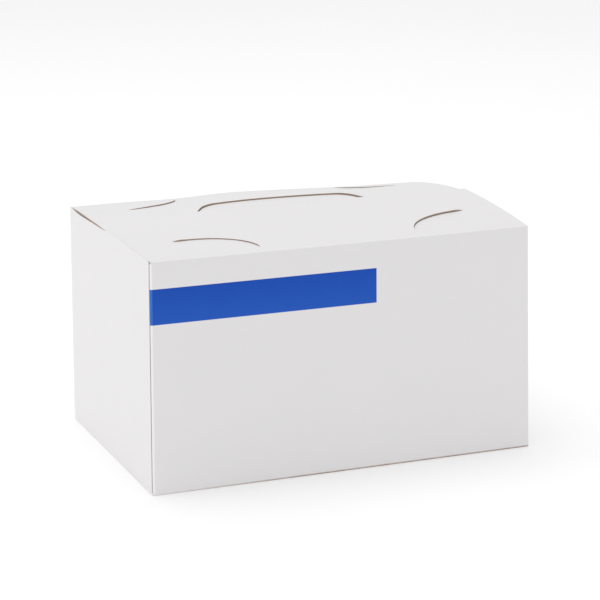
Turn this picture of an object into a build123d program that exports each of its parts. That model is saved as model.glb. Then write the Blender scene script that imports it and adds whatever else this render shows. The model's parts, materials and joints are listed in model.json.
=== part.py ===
from build123d import *
import os

# Folding carton, closed, for prefilled screw cap specimen jars. Millimetres, +Z up,
# origin in the middle of the base, front wall towards -Y.

# Carton board
BOARD = 0.6
FOLD_RADIUS = 1.0
FOLD_BEVEL = 0.2
HINGE_GAP = 0.05
SHEET_GAP = 0.15

# Glued side seam inside the left wall
SEAM_WIDTH = 14.0
SEAM_GLUE = 0.1
SEAM_GLUE_MARGIN = 2.0
SEAM_EDGE_SETBACK = 0.15
SEAM_END_TAPER = 4.0

# Roof that the two long top flaps make, with its rise at five even stations from left to right
RIDGE_FROM_FRONT = 58.0
RISE_LEFT = 0.9
RISE_LEFT_QUARTER = 4.7
RISE_MIDDLE = 5.5
RISE_RIGHT_QUARTER = 5.6
RISE_RIGHT = 5.2
FRONT_FLAP_INSET = 0.3
REAR_FLAP_INSET = 1.6
REAR_LIP = 12.0
LIP_CORNER = 5.0

# Lock tongue of the front flap and its window in the rear flap
TONGUE_ROOT = 74.0
TONGUE_TIP = 56.0
TONGUE_REACH = 14.0
TONGUE_ROUND = 8.0
TONGUE_DROP = 3.0
TONGUE_GAP = 0.3

# Curved relief slits, one quarter of an ellipse each
SLIT_CENTRE_FROM_SIDE = 17.5
FRONT_SLIT_CENTRE_FROM_FOLD = 6.5
REAR_SLIT_CENTRE_FROM_FOLD = 3.0
SLIT_ALONG = 29.0
SLIT_ACROSS = 20.4
SLIT_WIDTH = 0.6

# Dust flaps at the two ends
DUST_REACH = 48.0
DUST_TAPER = 0.8
DUST_END_INSET = 1.5
DUST_ROUND = 8.0

# Glued bottom
BOTTOM_CORNER = 9.5
BOTTOM_STEP_START = 5.0
BOTTOM_STEP_END = 9.0
BOTTOM_FOLD_HEIGHT = 1.2
BOTTOM_SPAN_GAP = 0.1
BOTTOM_INNER_END_GAP = 2.0
BOTTOM_SIDE_REACH = 45.0
STEP_RADIUS = 2.0

# Jars and their caps
JARS_ACROSS = 4
JARS_DEEP = 3
LAYERS = 2
JAR_DIAMETER = 32.0
JAR_WALL = 1.2
JAR_FLOOR = 1.4
JAR_FOOT_RECESS = 2.0
JAR_BRIM = 41.2
JAR_HEEL = 0.8
CAP_WALL = 1.7
CAP_TOP = 1.3
CAP_SKIRT = 11.0
CAP_SKIRT_GAP = 0.3
CAP_BRIM_GAP = 0.1
CAP_EDGE = 1.0
PLUG_DEPTH = 5.1
PLUG_GAP = 0.3
FILL_HEADSPACE = 3.7
FILL_GAP = 0.02

# Room round the packed jars
SIDE_BY_SIDE_GAP = 3.0
FRONT_TO_BACK_GAP = 0.35
END_CLEARANCE = 1.2
LONG_CLEARANCE = 0.2
HEAD_ROOM = 0.65

# Board pad between the layers
PAD_THICKNESS = 0.5
PAD_MARGIN = 1.2
PAD_CORNER = 4.0

CAP_DIAMETER = JAR_DIAMETER + 2 * (CAP_SKIRT_GAP + CAP_WALL)
CAP_HEIGHT = JAR_BRIM + CAP_BRIM_GAP + CAP_TOP
COLUMN_PITCH = CAP_DIAMETER + SIDE_BY_SIDE_GAP
ROW_PITCH = CAP_DIAMETER + FRONT_TO_BACK_GAP
LAYER_PITCH = CAP_HEIGHT + PAD_THICKNESS + 2 * HINGE_GAP
JAR_FLOOR_TOP = JAR_FOOT_RECESS + JAR_FLOOR
FILL_DEPTH = JAR_BRIM + CAP_BRIM_GAP - PLUG_DEPTH - FILL_HEADSPACE - JAR_FLOOR_TOP

# The carton fits round its jars
BASE_TOP = 3 * BOARD
INSIDE_WIDTH = (JARS_ACROSS - 1) * COLUMN_PITCH + CAP_DIAMETER + 2 * END_CLEARANCE
INSIDE_DEPTH = (JARS_DEEP - 1) * ROW_PITCH + CAP_DIAMETER + 2 * LONG_CLEARANCE
STACK_TOP = BASE_TOP + (LAYERS - 1) * LAYER_PITCH + CAP_HEIGHT
CARTON_WIDTH = INSIDE_WIDTH + 2 * (2 * BOARD + SEAM_GLUE)
CARTON_DEPTH = INSIDE_DEPTH + 2 * BOARD
CARTON_HEIGHT = STACK_TOP + HEAD_ROOM + 2 * BOARD + SHEET_GAP

FRONT = -CARTON_DEPTH / 2
REAR = CARTON_DEPTH / 2
LEFT = -CARTON_WIDTH / 2
RIGHT = CARTON_WIDTH / 2
RIDGE = FRONT + RIDGE_FROM_FRONT
RISES = [RISE_LEFT, RISE_LEFT_QUARTER, RISE_MIDDLE, RISE_RIGHT_QUARTER, RISE_RIGHT]
ROOF_STATIONS = [(LEFT + i * CARTON_WIDTH / (len(RISES) - 1), rise) for i, rise in enumerate(RISES)]
DUST_LEVEL = CARTON_HEIGHT - BOARD - SHEET_GAP
LONG_WALL_TOP = CARTON_HEIGHT - BOARD - HINGE_GAP
END_WALL_TOP = DUST_LEVEL - BOARD - HINGE_GAP


def inside_line(points):
    """Corners of the line one board thickness to the left of the line through the points."""
    corners = [Vector(*point) for point in points]
    normals = [(b - a).normalized().rotate(Axis.Z, 90) for a, b in zip(corners, corners[1:])]
    moved = []
    for corner, before, after in zip(corners, normals[:1] + normals, normals + normals[-1:]):
        mitre = before + after
        moved.append(corner + mitre * (BOARD / mitre.dot(before)))
    return moved


def folded_board(points, radii):
    """Cross section of a board whose outer line runs through the points, inside on its left."""
    inner = inside_line(points)
    turns = []
    for before, corner, after in zip(points, points[1:], points[2:]):
        onward = (Vector(*corner) - Vector(*before)).cross(Vector(*after) - Vector(*corner))
        turns.append(-BOARD if onward.Z > 0 else BOARD)
    outside = FilletPolyline(*points, radius=radii)
    inside = FilletPolyline(*inner, radius=[radius + turn for radius, turn in zip(radii, turns)])
    ends = [Line(points[0], inner[0]), Line(points[-1], inner[-1])]
    return make_face(outside.edges() + inside.edges() + ShapeList(ends))


def plan(outline, low, high):
    """Upright prism over an outline in plan."""
    return extrude(Pos(0, 0, low) * outline, high - low)


def wall_strip():
    """Glue flap, front, right, rear and left wall as one folded strip with its scores."""
    seam = LEFT + BOARD + SEAM_GLUE
    points = [
        (seam, FRONT + SEAM_WIDTH),
        (seam, FRONT),
        (RIGHT, FRONT),
        (RIGHT, REAR),
        (LEFT, REAR),
        (LEFT, FRONT + SEAM_EDGE_SETBACK),
    ]
    radii = [FOLD_RADIUS] * (len(points) - 2)
    height = LONG_WALL_TOP - BOTTOM_FOLD_HEIGHT
    strip = extrude(Pos(0, 0, BOTTOM_FOLD_HEIGHT) * folded_board(points, radii), height)
    end_band = Box(2 * (FOLD_RADIUS + BOARD), CARTON_DEPTH + BOARD, LONG_WALL_TOP - END_WALL_TOP)
    for side in (LEFT, RIGHT):
        strip -= Pos(side, 0, (LONG_WALL_TOP + END_WALL_TOP) / 2) * end_band
    return strip - seam_end_cuts(seam)


def seam_end_cuts(seam):
    """Slanted cuts at the top and foot of the glue flap, which keep it clear of the folds."""
    cuts = Part()
    free = FRONT + SEAM_WIDTH
    root = FRONT + 2 * FOLD_RADIUS
    for end, inward in ((LONG_WALL_TOP, -1), (BOTTOM_FOLD_HEIGHT, 1)):
        beyond = end - inward * BOARD
        corners = [(root, beyond), (root, end), (free, end + inward * SEAM_END_TAPER)]
        corners += [(free + BOARD, end + inward * SEAM_END_TAPER), (free + BOARD, beyond)]
        face = make_face(Polyline(*corners, close=True))
        cuts += extrude(Plane.YZ.offset(seam - SEAM_GLUE / 2) * face, BOARD + SEAM_GLUE)
    return cuts


def seam_glue():
    """Film of adhesive between the glue flap and the left wall."""
    length = SEAM_WIDTH - 2 * SEAM_GLUE_MARGIN - FOLD_RADIUS
    low = BOTTOM_FOLD_HEIGHT + SEAM_END_TAPER + SEAM_GLUE_MARGIN
    high = END_WALL_TOP - SEAM_END_TAPER - SEAM_GLUE_MARGIN
    film = Box(SEAM_GLUE, length, high - low, align=(Align.MIN, Align.MIN, Align.MIN))
    return Pos(LEFT + BOARD, FRONT + FOLD_RADIUS + SEAM_GLUE_MARGIN, low) * film


def bottom_flap(span, reach, level):
    """Bottom flap folded in along +Y from the line Y = 0, stepped up to its layer."""
    foot = level * BOARD
    points = [(0, BOTTOM_FOLD_HEIGHT), (0, 0)]
    radii = [FOLD_RADIUS]
    if level:
        points += [(BOTTOM_STEP_START, 0), (BOTTOM_STEP_END, foot)]
        radii += [STEP_RADIUS, STEP_RADIUS]
    points += [(reach, foot)]
    section = folded_board(points, radii)
    board = extrude(Plane.YZ.offset(-span / 2) * section, span)
    half = span / 2
    corners = [(-half, 0), (-half, FOLD_RADIUS), (BOTTOM_CORNER - half, BOTTOM_CORNER)]
    corners += [(BOTTOM_CORNER - half, reach), (half - BOTTOM_CORNER, reach)]
    corners += [(half - BOTTOM_CORNER, BOTTOM_CORNER), (half, FOLD_RADIUS), (half, 0)]
    outline = make_face(Polyline(*corners, close=True))
    return board & plan(outline, -BOARD, BOTTOM_FOLD_HEIGHT + BOARD)


def bottom_flaps():
    """The four glued bottom flaps, from the outermost to the innermost."""
    long_span = CARTON_WIDTH - 2 * (FOLD_RADIUS + BOTTOM_SPAN_GAP)
    end_span = CARTON_DEPTH - 2 * (FOLD_RADIUS + BOTTOM_SPAN_GAP)
    outer = bottom_flap(long_span, CARTON_DEPTH - BOTTOM_CORNER, 0)
    end = bottom_flap(end_span, BOTTOM_SIDE_REACH, 1)
    inner = bottom_flap(long_span, CARTON_DEPTH - BOTTOM_INNER_END_GAP, 2)
    return {
        "bottom_outer_flap": Pos(0, FRONT, 0) * outer,
        "bottom_left_flap": Pos(LEFT, 0, 0) * Rot(0, 0, -90) * end,
        "bottom_right_flap": Pos(RIGHT, 0, 0) * Rot(0, 0, 90) * end,
        "bottom_inner_flap": Pos(0, REAR, 0) * Rot(0, 0, 180) * inner,
    }


def roof_section(x, fold, inward, line):
    """Outline of a top flap at one station, from its folded edge along a line of its top face."""
    top = [(fold, CARTON_HEIGHT - FOLD_BEVEL), (fold + inward * FOLD_BEVEL, CARTON_HEIGHT)]
    under = [(y, z - BOARD) for y, z in reversed(line)] + [(fold, CARTON_HEIGHT - BOARD)]
    points = [Vector(x, y, z) for y, z in top + line + under]
    return Face(Wire.make_polygon(points, close=True))


def rear_top(y, rise):
    """Height of the rear flap's top face behind the ridge."""
    ridge_height = rise - BOARD - SHEET_GAP
    return CARTON_HEIGHT + ridge_height * (REAR - y) / (REAR - RIDGE)


def front_line(rise):
    """Top face of the front flap from the ridge to the end of its tongue."""
    drop = RIDGE + TONGUE_DROP
    tip = RIDGE + TONGUE_REACH
    below = BOARD + HINGE_GAP
    return [
        (RIDGE, CARTON_HEIGHT + rise),
        (drop, rear_top(drop, rise) - below),
        (tip, rear_top(tip, rise) - below),
    ]


def rear_line(rise):
    """Top face of the rear flap from the ridge to its lip below the front flap."""
    lip_rise = rise * (RIDGE_FROM_FRONT - REAR_LIP) / RIDGE_FROM_FRONT
    below = BOARD + SHEET_GAP
    return [(RIDGE, CARTON_HEIGHT + rise - below), (RIDGE - REAR_LIP, CARTON_HEIGHT + lip_rise - below)]


def tongue_outline(grow):
    """Round ended tongue behind the ridge, grown all round for its window."""
    root = TONGUE_ROOT / 2 + grow
    tip = TONGUE_TIP / 2 + grow
    reach = RIDGE + TONGUE_REACH + grow
    corners = [(-root, RIDGE - BOARD - grow), (-root, RIDGE), (-tip, reach)]
    corners += [(tip, reach), (root, RIDGE), (root, RIDGE - BOARD - grow)]
    face = make_face(Polyline(*corners, close=True))
    return fillet(face.vertices().filter_by_position(Axis.Y, reach - 1, reach + 1), TONGUE_ROUND)


def relief_slits(fold, inward, from_fold):
    """The two curved slits of a long top flap, one near each end, round centres near its fold."""
    outer = Ellipse(SLIT_ALONG + SLIT_WIDTH / 2, SLIT_ACROSS + SLIT_WIDTH / 2)
    ring = outer - Ellipse(SLIT_ALONG - SLIT_WIDTH / 2, SLIT_ACROSS - SLIT_WIDTH / 2)
    centre = fold + inward * from_fold
    across = (SLIT_ACROSS + SLIT_WIDTH) * inward
    slits = Sketch()
    for side, towards in ((LEFT, 1), (RIGHT, -1)):
        along = (SLIT_ALONG + SLIT_WIDTH) * towards
        quarter = Pos(along / 2, across / 2) * Rectangle(abs(along), abs(across))
        slits += Pos(side + towards * SLIT_CENTRE_FROM_SIDE, centre) * (ring & quarter)
    return slits


def through_roof(outline):
    """Prism over an outline that passes through both long top flaps."""
    return plan(outline, CARTON_HEIGHT - 4 * BOARD, CARTON_HEIGHT + max(RISES) + 4 * BOARD)


def front_top_flap():
    """Front flap of the roof, with its lock tongue and two relief slits."""
    board = loft([roof_section(x, FRONT, 1, front_line(rise)) for x, rise in ROOF_STATIONS])
    width = CARTON_WIDTH - 2 * FRONT_FLAP_INSET
    panel = Pos(0, FRONT) * Rectangle(width, RIDGE_FROM_FRONT, align=(Align.CENTER, Align.MIN))
    outline = panel + tongue_outline(0)
    slits = relief_slits(FRONT, 1, FRONT_SLIT_CENTRE_FROM_FOLD)
    return (board & through_roof(outline)) - through_roof(slits)


def rear_top_flap():
    """Rear flap of the roof, with the tongue's window, two relief slits and a lip."""
    board = loft([roof_section(x, REAR, -1, rear_line(rise)) for x, rise in ROOF_STATIONS])
    half = CARTON_WIDTH / 2 - REAR_FLAP_INSET
    lip = RIDGE - REAR_LIP
    corners = [(-half, REAR), (-half, lip + LIP_CORNER), (LIP_CORNER - half, lip)]
    corners += [(half - LIP_CORNER, lip), (half, lip + LIP_CORNER), (half, REAR)]
    outline = make_face(Polyline(*corners, close=True))
    cuts = relief_slits(REAR, -1, REAR_SLIT_CENTRE_FROM_FOLD) + tongue_outline(TONGUE_GAP)
    return (board & through_roof(outline)) - through_roof(cuts)


def dust_flap(towards):
    """Tapered end flap that lies flat below the roof, folded in towards the middle."""
    side = -towards * CARTON_WIDTH / 2
    half = CARTON_DEPTH / 2 - DUST_END_INSET
    tip = half - DUST_TAPER * DUST_REACH
    inner = side + towards * DUST_REACH
    corners = [(side, -half), (inner, -tip), (inner, tip), (side, half)]
    face = make_face(Polyline(*corners, close=True))
    tips = face.vertices().filter_by_position(Axis.X, inner - 1, inner + 1)
    board = plan(fillet(tips, DUST_ROUND), DUST_LEVEL - BOARD, DUST_LEVEL)
    folded = board.edges().filter_by(Axis.Y).filter_by_position(Axis.X, side - 0.1, side + 0.1)
    return chamfer(folded.sort_by(Axis.Z)[-1], FOLD_BEVEL)


def jar():
    """Straight sided jar with a recessed foot, standing on Z = 0."""
    outside = JAR_DIAMETER / 2
    inside = outside - JAR_WALL
    floor = JAR_FLOOR_TOP
    body = Pos(0, 0, JAR_BRIM / 2) * Cylinder(outside, JAR_BRIM)
    body = chamfer(body.edges().sort_by(Axis.Z)[0], JAR_HEEL)
    cavity = Pos(0, 0, (JAR_BRIM + floor) / 2) * Cylinder(inside, JAR_BRIM - floor)
    recess = Pos(0, 0, JAR_FOOT_RECESS / 2) * Cylinder(inside - JAR_HEEL, JAR_FOOT_RECESS)
    return body - cavity - recess


def cap():
    """Screw cap with its skirt and plug seal, at its height over the jar."""
    under = JAR_BRIM + CAP_BRIM_GAP
    shell_height = CAP_TOP + CAP_SKIRT
    shell = Pos(0, 0, under + CAP_TOP - shell_height / 2) * Cylinder(CAP_DIAMETER / 2, shell_height)
    shell = chamfer(shell.edges().sort_by(Axis.Z)[-1], CAP_EDGE)
    bore = JAR_DIAMETER / 2 + CAP_SKIRT_GAP
    shell -= Pos(0, 0, under - CAP_SKIRT / 2) * Cylinder(bore, CAP_SKIRT)
    plug = JAR_DIAMETER / 2 - JAR_WALL - PLUG_GAP
    return shell + Pos(0, 0, under - PLUG_DEPTH / 2) * Cylinder(plug, PLUG_DEPTH)


def fill():
    """Fixative that stands in a jar."""
    low = JAR_FLOOR_TOP
    radius = JAR_DIAMETER / 2 - JAR_WALL - FILL_GAP
    return Pos(0, 0, low + FILL_DEPTH / 2) * Cylinder(radius, FILL_DEPTH)


def jar_places():
    """Name and foot of every jar, layer by layer, from front left to rear right."""
    for layer in range(LAYERS):
        height = BASE_TOP + layer * LAYER_PITCH
        for row in range(JARS_DEEP):
            for column in range(JARS_ACROSS):
                x = (column - (JARS_ACROSS - 1) / 2) * COLUMN_PITCH
                y = (row - (JARS_DEEP - 1) / 2) * ROW_PITCH
                name = f"{'lower' if layer == 0 else 'upper'}_{row + 1}_{column + 1}"
                yield name, Pos(x, y, height)


def layer_pad():
    """Loose board between the two layers of jars."""
    width = CARTON_WIDTH - 2 * (BOARD + SEAM_GLUE + BOARD + PAD_MARGIN)
    depth = CARTON_DEPTH - 2 * (BOARD + PAD_MARGIN)
    low = BASE_TOP + CAP_HEIGHT + HINGE_GAP
    return plan(RectangleRounded(width, depth, PAD_CORNER), low, low + PAD_THICKNESS)


def build():
    """Every node of the carton and what it holds, by name."""
    nodes = {"carton_walls": wall_strip(), "side_seam_glue": seam_glue()}
    nodes |= bottom_flaps()
    nodes["front_top_flap"] = front_top_flap()
    nodes["rear_top_flap"] = rear_top_flap()
    nodes["left_dust_flap"] = dust_flap(1)
    nodes["right_dust_flap"] = dust_flap(-1)
    nodes["layer_pad"] = layer_pad()
    one_jar, one_cap, one_fill = jar(), cap(), fill()
    fills = []
    for name, place in jar_places():
        nodes[f"jar_{name}"] = place * one_jar
        nodes[f"cap_{name}"] = place * one_cap
        fills += (place * one_fill).solids()
    nodes["formalin_fills"] = Compound(children=fills)
    return nodes


os.makedirs("parts", exist_ok=True)
for node, shape in build().items():
    export_step(shape, f"parts/{node}.step")
    print(node, "solids", len(shape.solids()), "volume", round(shape.volume, 1))
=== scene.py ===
"""Looks of a board carton with a tongue locked top, the specimen jars in it, and its studio."""

from __future__ import annotations

import json
import logging
import math
from dataclasses import dataclass
from enum import Enum, IntEnum
from functools import cached_property
from typing import Any, Callable, Iterator, Sequence

import bpy
from bpy.types import ID, Material, NodeSocket, Object
from mathutils import Matrix, Vector


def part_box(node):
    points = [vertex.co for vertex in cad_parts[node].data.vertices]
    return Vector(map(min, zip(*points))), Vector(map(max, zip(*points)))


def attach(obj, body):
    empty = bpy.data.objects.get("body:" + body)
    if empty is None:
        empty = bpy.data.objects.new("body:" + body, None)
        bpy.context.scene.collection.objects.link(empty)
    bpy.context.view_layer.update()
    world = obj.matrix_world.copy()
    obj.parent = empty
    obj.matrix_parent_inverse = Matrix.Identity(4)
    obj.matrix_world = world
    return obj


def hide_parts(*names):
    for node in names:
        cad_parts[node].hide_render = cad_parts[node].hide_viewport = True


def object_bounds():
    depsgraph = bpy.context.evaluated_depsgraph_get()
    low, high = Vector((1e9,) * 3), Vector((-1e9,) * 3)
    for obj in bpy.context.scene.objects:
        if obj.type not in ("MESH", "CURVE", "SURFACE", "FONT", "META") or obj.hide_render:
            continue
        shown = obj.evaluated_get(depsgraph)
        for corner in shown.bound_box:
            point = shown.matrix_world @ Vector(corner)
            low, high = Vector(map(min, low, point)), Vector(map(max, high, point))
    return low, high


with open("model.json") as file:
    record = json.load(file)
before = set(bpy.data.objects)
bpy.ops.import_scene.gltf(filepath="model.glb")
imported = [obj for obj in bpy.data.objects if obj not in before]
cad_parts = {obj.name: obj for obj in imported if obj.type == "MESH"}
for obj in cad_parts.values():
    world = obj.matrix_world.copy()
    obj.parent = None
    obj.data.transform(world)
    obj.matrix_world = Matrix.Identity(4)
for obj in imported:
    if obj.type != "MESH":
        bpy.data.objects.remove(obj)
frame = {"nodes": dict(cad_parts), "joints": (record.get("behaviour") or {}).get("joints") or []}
CAD_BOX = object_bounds()

LOG = logging.getLogger("carton")
MM = 0.001
Stations = tuple[tuple[float, float], ...]
Outline = Sequence[tuple[float, float]]
Colour = tuple[float, ...]


def in_mm(*stations: tuple[float, float]) -> Stations:
    """Stations of a curve whose values are given in millimetres."""
    return tuple((place, value * MM) for place, value in stations)


# Board and its folds
BOARD = 0.6 * MM
FOLD_RADIUS = 1.0 * MM
FLAP_FOLD_BEVEL = 0.3 * MM
FOLD_GUARD = 0.3 * MM
FOLD_STEPS = 5
PANEL_CELL = 2.5 * MM
ROOF_CELL = 1.5 * MM
WALL_BELLY = 0.25 * MM
END_BELLY = 0.4
SEAM_WIDTH = 14.0 * MM
SEAM_GLUE = 0.1 * MM
SEAM_EDGE_SETBACK = 0.65 * MM
SEAM_SQUEEZE = 0.5 * MM
SEAM_SQUEEZE_REACH = 2.5 * MM

# Roof of the two long top flaps
RIDGE_FROM_FRONT = 58.0 * MM
FLAP_INSET_LEFT = 0.63 * MM
FLAP_INSET_RIGHT = 0.15 * MM
SHEET_GAP = 0.15 * MM
REAR_LIP = 12.0 * MM
FLAP_SPRINGS = ((-0.5, 0.1), (-0.25, -0.05), (0.25, 0.1), (0.5, 0.6))
LEFT_EDGE_LIFT = 0.25 * MM
LEFT_EDGE_REACH = 9.0 * MM
LEFT_EDGE_RIDGE_STEEPNESS = 4
LEFT_EDGE_FOLD_STEEPNESS = 5
LEFT_WALL_SHORTFALL = 0.02 * MM
BARE_EDGES = in_mm(
    (0, 0.7), (0.05, 0.76), (0.2, 0.82), (0.45, 0.82), (0.65, 0.88), (0.85, 0.6), (0.95, 0.1), (1, 0)
)
LEFT_WALL_LEAN = 0.0127
RIGHT_WALL_LEAN = 0.0185
RIDGE_RISES = in_mm((-0.5, 1.3), (-0.25, 5.5), (0.0, 5.5), (0.3, 5.8), (0.5, 5.6))
FRONT_FOLD_LIFTS = in_mm((-0.5, 0.05), (0.1, 0.2), (0.5, 0.55))
REAR_FOLD_LIFTS = in_mm(
    (-0.5, 1.0), (-0.35, 1.1), (-0.2, 0.9), (-0.06, 1.6), (0.1, 1.0), (0.27, 0.15), (0.5, -0.5)
)

# Lock tongue and the window that it lies in
TONGUE_MIDDLE = -2.8 * MM
TONGUE_ROOT = 76.4 * MM
TONGUE_TIP_LEFT = 30.0 * MM
TONGUE_TIP_RIGHT = 33.0 * MM
TONGUE_REACH = 14.0 * MM
TONGUE_ROUND_LEFT = 11.0 * MM
TONGUE_ROUND_RIGHT = 8.0 * MM
TONGUE_GAP = 0.3 * MM
TONGUE_DROP = 3.0 * MM
LIP_LIFTS = in_mm((-0.5, 1.8), (-0.3, 1.9), (0.0, 2.1), (0.3, 2.1), (0.5, 2.2))
LIP_LIFT_REACH = 9.0 * MM
LIP_ROUNDNESS = 0.3

# Curved relief slits
SLIT_WIDTH = 0.3 * MM
SLIT_FAR_SHARE = 0.6
SLIT_LIFT_REACH = 7.0 * MM
SLIT_STEPS = 26
SLIT_POINT = 0.25

# Printed band of the front wall, as shares of its width and height
BAND_RIGHT = 0.58
BAND_LOW = 0.7345
BAND_HIGH = 0.886

# Cracked coating and painted contact shadow along the base's front crease, by the floor
WEAR_SHADE_HEIGHT = 0.45 * MM
WEAR_SHADE_DEPTH = 0.7 * MM
WEAR_SHADE_START = -50.0 * MM
WEAR_SHADE_FADE = 60.0 * MM
WEAR_SHADE_GRAIN = 300.0
WEAR_SHADE_PATCHES = 0.6

# Jars and caps
CAP_RIBS = 72
CAP_RIB_DEPTH = 0.35 * MM
CAP_RIM_HEIGHT = 0.8 * MM
CAP_TOP_RING = 1.1 * MM
CAP_RING_DEPTH = 0.3 * MM
JAR_WALL = 1.2 * MM
JAR_SIDES = 48
JAR_FOOT = 2.0 * MM
JAR_FLOOR = 3.4 * MM
JAR_HEEL = 0.8 * MM
JAR_BRIM = 0.3 * MM
CAP_PLATE = 1.3 * MM
CAP_PLUG = 5.1 * MM
CAP_PLUG_CHAMFER = 0.4 * MM
CAP_OVER_JAR = 0.3 * MM

# Camera, fitted to the carton's visible edges in the photograph
CAMERA_PLACE = (-0.30192, -0.78945, 0.26186)
CAMERA_TILT = 77.8944
CAMERA_HEADING = -21.0972
CAMERA_ROLL = -0.6062
CAMERA_FOCAL_PX = 2141.55
CAMERA_SHIFT_Y = -0.1
PHOTO_SIDE_PX = 600
SENSOR_WIDTH = 36.0

# Studio light
ROOM_LIGHT = 0.81
LAMP_AIM = (0, 0, 0.05)
FLOOR_GLOW = 0.1
BOARD_GLOSS = 0.3
EDGE_FIBRES = 1600.0

# Angles past which an edge stays sharp, in degrees
FLAP_CREASE = 35.0
STRIP_CREASE = 30.0
JAR_CREASE = 25.0
FILM_CREASE = 40.0

# Working measures
TINY = 0.01 * MM
WELD = 0.001 * MM
MOSTLY = 0.5
CUT_REACH = 4 * BOARD


class Outside(Enum):
    """Direction in which the coated face of a folded flap looks, its fold included."""

    LEFT_TOP = (-1.0, 0.0, 1.0)
    RIGHT_TOP = (1.0, 0.0, 1.0)
    FRONT_BASE = (0.0, -1.0, -1.0)
    REAR_BASE = (0.0, 1.0, -1.0)
    LEFT_BASE = (-1.0, 0.0, -1.0)
    RIGHT_BASE = (1.0, 0.0, -1.0)


class Side(IntEnum):
    """Material slots of a flap or of the wall strip."""

    COATED = 0
    INSIDE = 1
    RAW = 2


def operator(name: str, swapped: bool = False) -> Callable[[Signal, Signal | float], Signal]:
    """Python operator of a Signal that adds one Math node.

    Args:
        name: Blender's name of the operation.
        swapped: True where the signal is the second operand.

    Returns:
        The operator's method.
    """

    def method(signal: Signal, other: Signal | float) -> Signal:
        """The operation's result."""
        return signal.math(name, other, signal) if swapped else signal.math(name, signal, other)

    return method


class Signal:
    """A shader value that takes part in Python arithmetic through Math nodes."""

    def __init__(self, bench: Bench, socket: NodeSocket) -> None:
        """Keeps the socket and the bench that its nodes are made on."""
        self.bench = bench
        self.socket = socket

    def math(self, operation: str, *values: Signal | float) -> Signal:
        """Adds one Math node.

        Args:
            operation: Blender's name of the operation.
            values: The node's inputs in order.

        Returns:
            The node's result.
        """
        return self.bench.node("ShaderNodeMath", {"operation": operation}, dict(enumerate(values)))

    __add__ = __radd__ = operator("ADD")
    __mul__ = __rmul__ = operator("MULTIPLY")
    __sub__ = operator("SUBTRACT")
    __rsub__ = operator("SUBTRACT", swapped=True)
    __truediv__ = operator("DIVIDE")

    def above(self, edge: float, blur: float) -> Signal:
        """Mask that is 1 where the value is over an edge, with a blurred step."""
        return ((self - (edge - blur / 2)) / blur).clamped()

    def clamped(self) -> Signal:
        """The value kept between 0 and 1."""
        return self.math("MINIMUM", self.math("MAXIMUM", self, 0.0), 1.0)


class Bench:
    """Node tree of one material, with short ways to add nodes."""

    def __init__(self, name: str) -> None:
        """Makes an empty material with one Principled shader."""
        self.material = bpy.data.materials.new(name)
        self.material.use_nodes = True
        self.tree = self.material.node_tree
        self.tree.nodes.clear()
        self.shader = self.tree.nodes.new("ShaderNodeBsdfPrincipled")
        output = self.tree.nodes.new("ShaderNodeOutputMaterial")
        self.tree.links.new(self.shader.outputs[0], output.inputs["Surface"])

    def node(self, kind: str, settings: dict[str, Any], inputs: dict[int | str, Any], out: int | str = 0) -> Signal:
        """Adds any node.

        Args:
            kind: Blender's type name.
            settings: Properties set before the sockets.
            inputs: Values or signals for the sockets, by name or number.
            out: The output that is wanted.

        Returns:
            That output as a signal.
        """
        made = self.tree.nodes.new(kind)
        for key, value in settings.items():
            setattr(made, key, value)
        for key, value in inputs.items():
            self.feed(made.inputs[key], value)
        return Signal(self, made.outputs[out])

    def feed(self, socket: NodeSocket, value: Any) -> None:
        """Links a signal to a socket, or sets the socket's own value."""
        if isinstance(value, Signal):
            self.tree.links.new(value.socket, socket)
        else:
            socket.default_value = value

    def surface(self, **inputs: Any) -> Material:
        """Feeds the Principled shader and returns the finished material."""
        for name, value in inputs.items():
            self.feed(self.shader.inputs[name.replace("_", " ")], value)
        return self.material

    def place(self) -> Signal:
        """Object coordinates."""
        return self.node("ShaderNodeTexCoord", {}, {}, "Object")

    def axes(self, vector: Signal) -> tuple[Signal, Signal, Signal]:
        """The three components of a vector."""
        outputs = self.node("ShaderNodeSeparateXYZ", {}, {0: vector}).socket.node.outputs
        return Signal(self, outputs[0]), Signal(self, outputs[1]), Signal(self, outputs[2])

    def facing(self) -> tuple[Signal, Signal, Signal]:
        """The components of the surface normal."""
        return self.axes(self.node("ShaderNodeNewGeometry", {}, {}, "Normal"))

    def noise(self, scale: float, detail: float = 3.0, stretch: Sequence[float] = (1, 1, 1)) -> Signal:
        """Noise on Object coordinates, with so many features in a metre."""
        mapped = self.node("ShaderNodeMapping", {}, {"Vector": self.place(), "Scale": tuple(stretch)})
        return self.node("ShaderNodeTexNoise", {}, {"Vector": mapped, "Scale": scale, "Detail": detail})

    def blend(self, factor: Signal | float, first: Any, second: Any) -> Signal:
        """Mix of two colours."""
        return self.node("ShaderNodeMix", {"data_type": "RGBA"}, {0: factor, 6: first, 7: second}, 2)

    def bump(self, height: Signal, depth: float) -> Signal:
        """Bump whose height runs from 0 to a depth in metres."""
        return self.node("ShaderNodeBump", {}, {"Height": height, "Distance": depth, "Strength": 1.0})


def rgb(red: float, green: float, blue: float) -> Colour:
    """Opaque linear colour."""
    return (red, green, blue, 1.0)


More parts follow.
